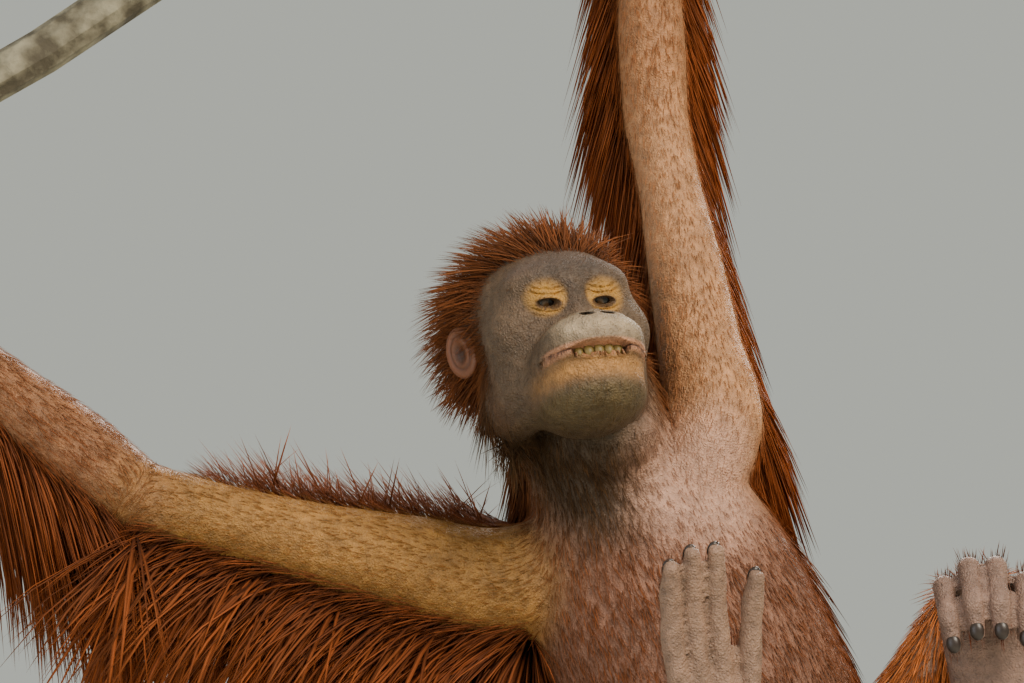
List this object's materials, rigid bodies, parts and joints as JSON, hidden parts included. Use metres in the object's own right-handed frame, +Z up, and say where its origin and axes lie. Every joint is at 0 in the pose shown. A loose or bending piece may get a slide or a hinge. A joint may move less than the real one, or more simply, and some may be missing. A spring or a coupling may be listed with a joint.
{
  "type": "orangutan model",
  "caption": "Life-size still model of a young orangutan hanging by both hands from a cut length of branch, legs drawn up, on a flat base with rods.",
  "frame": {"origin": "centre of the underside of the display base", "axes": "+Z up, the animal faces -Y with its chest, and its own left side is towards +X"},
  "size_m": [0.9045, 0.4224, 1.2471],
  "materials": {
    "coat": "long red-brown hair over warm tan skin",
    "face_skin": "finely creased grey-brown skin",
    "ear_skin": "thin brown skin",
    "bare_skin": "creased grey-brown skin",
    "eye": "wet dark brown",
    "bark": "dry grey bark",
    "base": "matt dark grey",
    "rod": "brushed"
  },
  "bodies": {
    "root": {"branch": "bark", "ear_left": "ear_skin", "ear_right": "ear_skin", "eye_left": "eye", "eye_right": "eye", "foot_left": "bare_skin", "foot_right": "bare_skin", "forearm_left": "coat", "forearm_right": "coat", "hand_left": "bare_skin", "hand_right": "bare_skin", "head": "face_skin", "neck": "coat", "shank_left": "coat", "shank_right": "coat", "stand_base": "base", "stand_rod_left": "rod", "stand_rod_right": "rod", "thigh_left": "coat", "thigh_right": "coat", "torso": "coat", "upper_arm_left": "coat", "upper_arm_right": "coat"}
  },
  "joints": []
}
